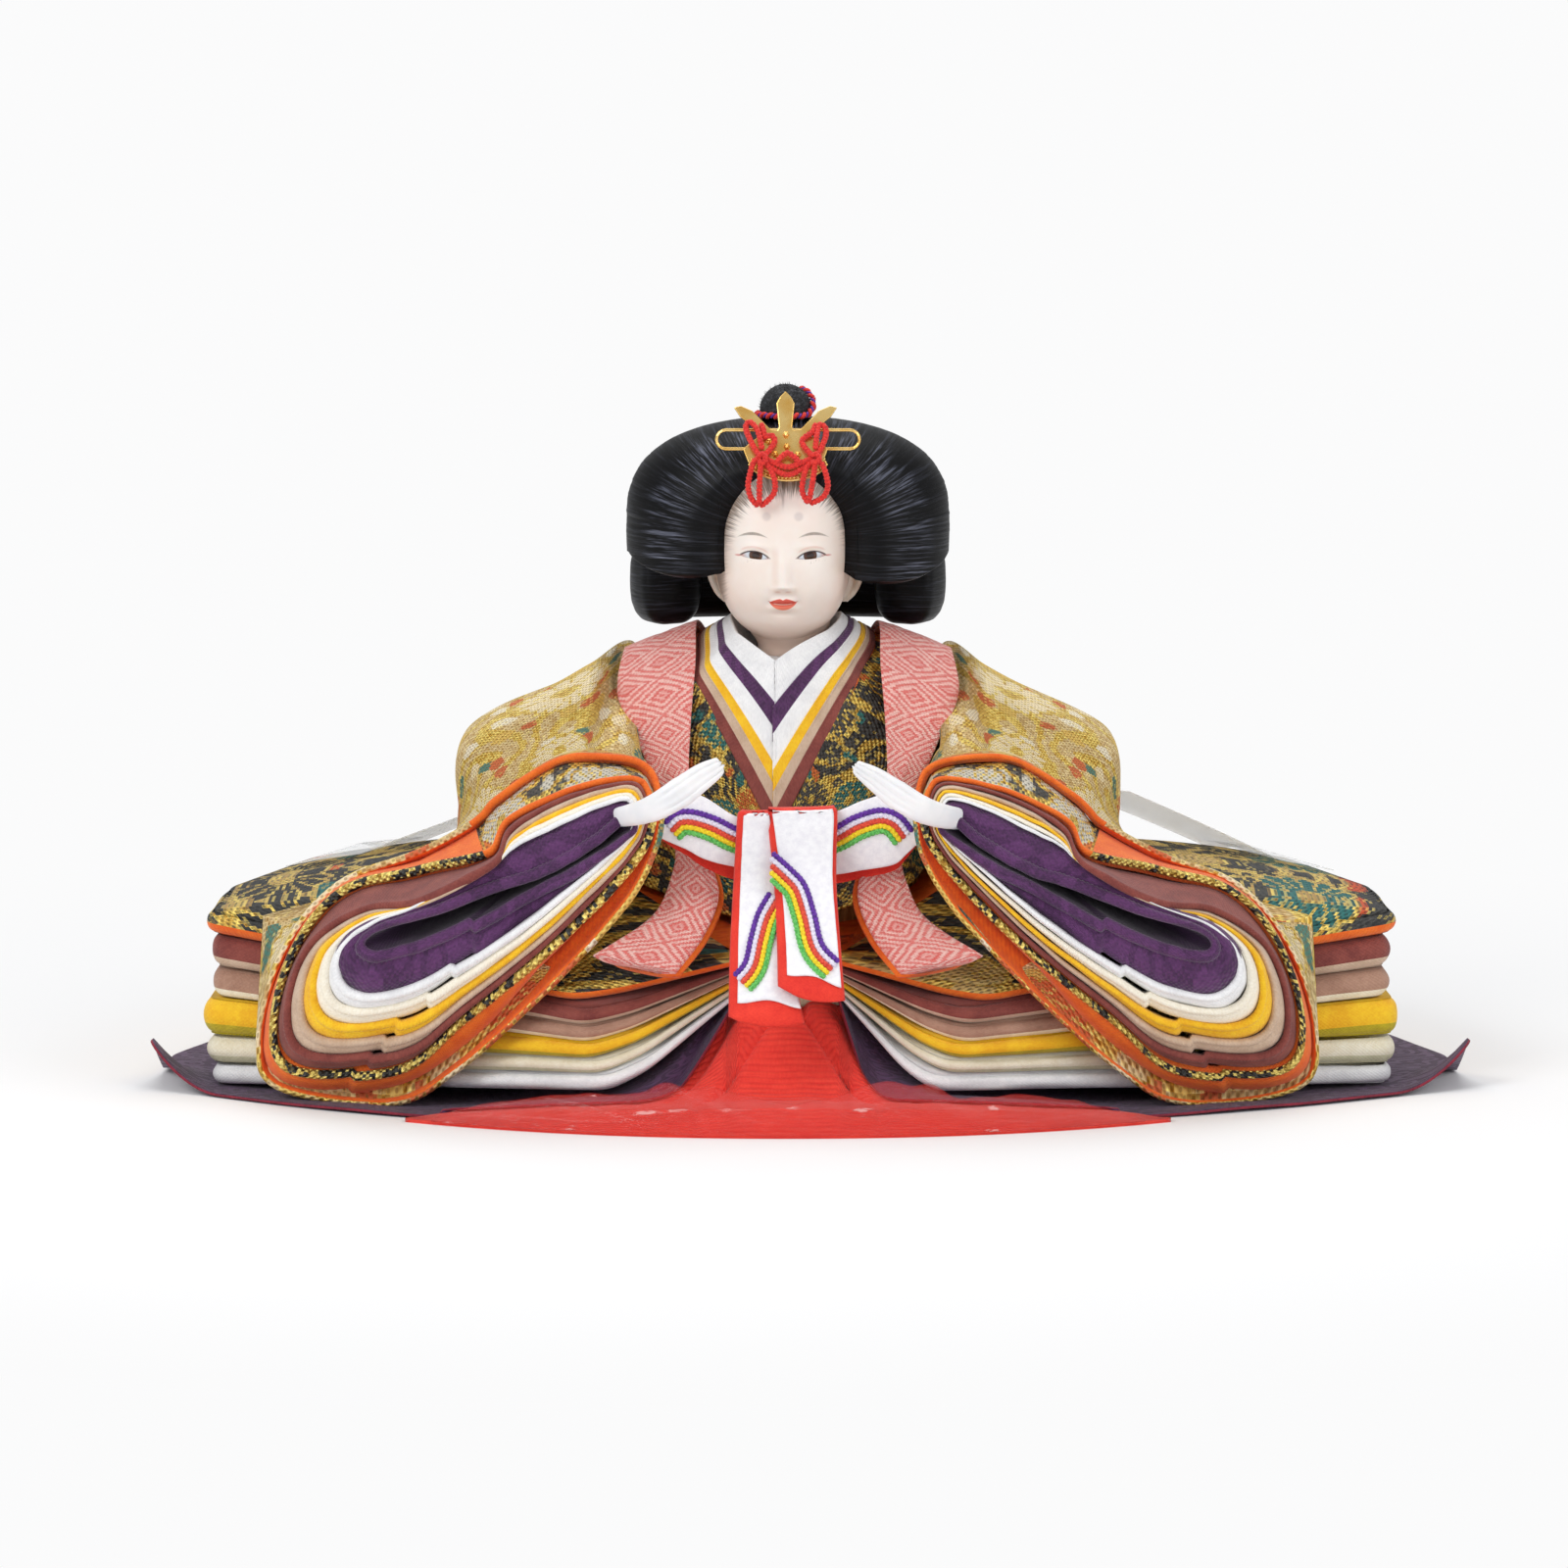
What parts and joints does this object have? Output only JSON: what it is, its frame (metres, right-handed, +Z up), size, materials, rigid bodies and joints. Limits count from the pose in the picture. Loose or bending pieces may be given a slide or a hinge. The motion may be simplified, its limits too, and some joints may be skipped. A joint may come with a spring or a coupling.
{
  "type": "hina doll",
  "caption": "Seated court lady doll in layered robes with wide sleeves, a gold crown, combed hair, a bow and spread hems, resting flat on its base.",
  "frame": {"origin": "on the floor under the middle of the trunk", "axes": "+Z up, the doll faces -Y, +X to the right as seen from the front"},
  "size_m": [0.3222, 0.201, 0.1706],
  "materials": {
    "straw": "dry bound straw, matte",
    "steel_wire": "dull drawn wire",
    "wood_peg": "planed wood, bare",
    "doll_face": "pale shell powder finish, eggshell sheen, painted features",
    "doll_hand": "cool white, satin",
    "eye_glass": "dark brown, polished",
    "silk_hair": "black silk fibres combed in one direction, soft streaked shine",
    "hair_knot": "black silk fibres wound to a ball",
    "gold_plate": "polished gold plating",
    "red_cord": "twisted silk cord",
    "white_paper": "white paper tie, matte",
    "purple_damask": "deep purple silk with a faint woven figure",
    "white_silk": "white silk crepe",
    "cream_silk": "cream silk",
    "yellow_silk": "marigold yellow silk",
    "beige_silk": "beige silk",
    "taupe_silk": "taupe silk",
    "rust_silk": "rust brown silk crepe",
    "brocade": "gold and black brocade with an orange lining, metallic threads",
    "pink_brocade": "pink silk with a coral lozenge weave",
    "red_trousers": "bright red ribbed silk",
    "clear_film": "thin clear film, glossy",
    "gauze": "stiff white gauze, half see-through",
    "white_satin": "white satin with a red edge",
    "braid": "five narrow silk braids: purple, white, red, yellow and green"
  },
  "bodies": {
    "figure": {"straw_trunk": "straw", "arm_wire": "steel_wire", "collar_inner": "white_silk", "collar_purple": "purple_damask", "collar_white": "white_silk", "collar_yellow": "yellow_silk", "collar_beige": "beige_silk", "collar_rust": "rust_silk", "jacket": "brocade", "panel_left": "pink_brocade", "panel_right": "pink_brocade", "hem_purple": "purple_damask", "hem_white": "white_silk", "hem_cream": "cream_silk", "hem_yellow": "yellow_silk", "hem_taupe": "taupe_silk", "hem_rust": "rust_silk", "hem_brocade": "brocade", "trousers": "red_trousers", "hem_film": "clear_film", "train": "gauze", "bow_loops": "white_satin", "bow_tail_front": "white_satin", "bow_tail_back": "white_satin", "bow_knot": "white_satin", "braid_loop_left": "braid", "braid_loop_right": "braid", "braid_tail_front": "braid", "braid_tail_back": "braid", "sleeve_left_purple": "purple_damask", "sleeve_left_white": "white_silk", "sleeve_left_cream": "cream_silk", "sleeve_left_yellow": "yellow_silk", "sleeve_left_beige": "beige_silk", "sleeve_left_rust": "rust_silk", "sleeve_left_brocade_inner": "brocade", "sleeve_left_brocade_outer": "brocade", "sleeve_right_purple": "purple_damask", "sleeve_right_white": "white_silk", "sleeve_right_cream": "cream_silk", "sleeve_right_yellow": "yellow_silk", "sleeve_right_beige": "beige_silk", "sleeve_right_rust": "rust_silk", "sleeve_right_brocade_inner": "brocade", "sleeve_right_brocade_outer": "brocade"},
    "neck": {"neck_stick": "wood_peg"},
    "head": {"head": "doll_face", "eye_left": "eye_glass", "eye_right": "eye_glass", "hair_wings": "silk_hair", "hair_back": "silk_hair", "hair_topknot": "hair_knot", "hair_tail": "silk_hair", "tail_tie": "white_paper", "topknot_cord": "red_cord"},
    "crown": {"crown": "gold_plate", "crown_cord": "red_cord", "hair_pin": "gold_plate"},
    "hand_left": {"hand_left": "doll_hand"},
    "hand_right": {"hand_right": "doll_hand"}
  },
  "joints": [
    {"name": "neck_lift", "type": "slide", "parent": "figure", "child": "neck", "axis": [0, 0, 1], "range_m": [0, 0.045]},
    {"name": "head_turn", "type": "hinge", "parent": "neck", "child": "head", "pos_m": [0, 0, 0.1035], "axis": [0, 0, 1], "range_deg": [-10, 10]},
    {"name": "crown_off", "type": "slide", "parent": "head", "child": "crown", "axis": [0, -1, 0], "range_m": [0, 0.03]},
    {"name": "hand_left_turn", "type": "hinge", "parent": "figure", "child": "hand_left", "pos_m": [-0.04275, -0.0768, 0.07205], "axis": [0.157, -0.9703, 0.1841], "range_deg": [-8, 8]},
    {"name": "hand_right_turn", "type": "hinge", "parent": "figure", "child": "hand_right", "pos_m": [0.04275, -0.0768, 0.07205], "axis": [-0.157, -0.9703, 0.1841], "range_deg": [-8, 8]}
  ]
}
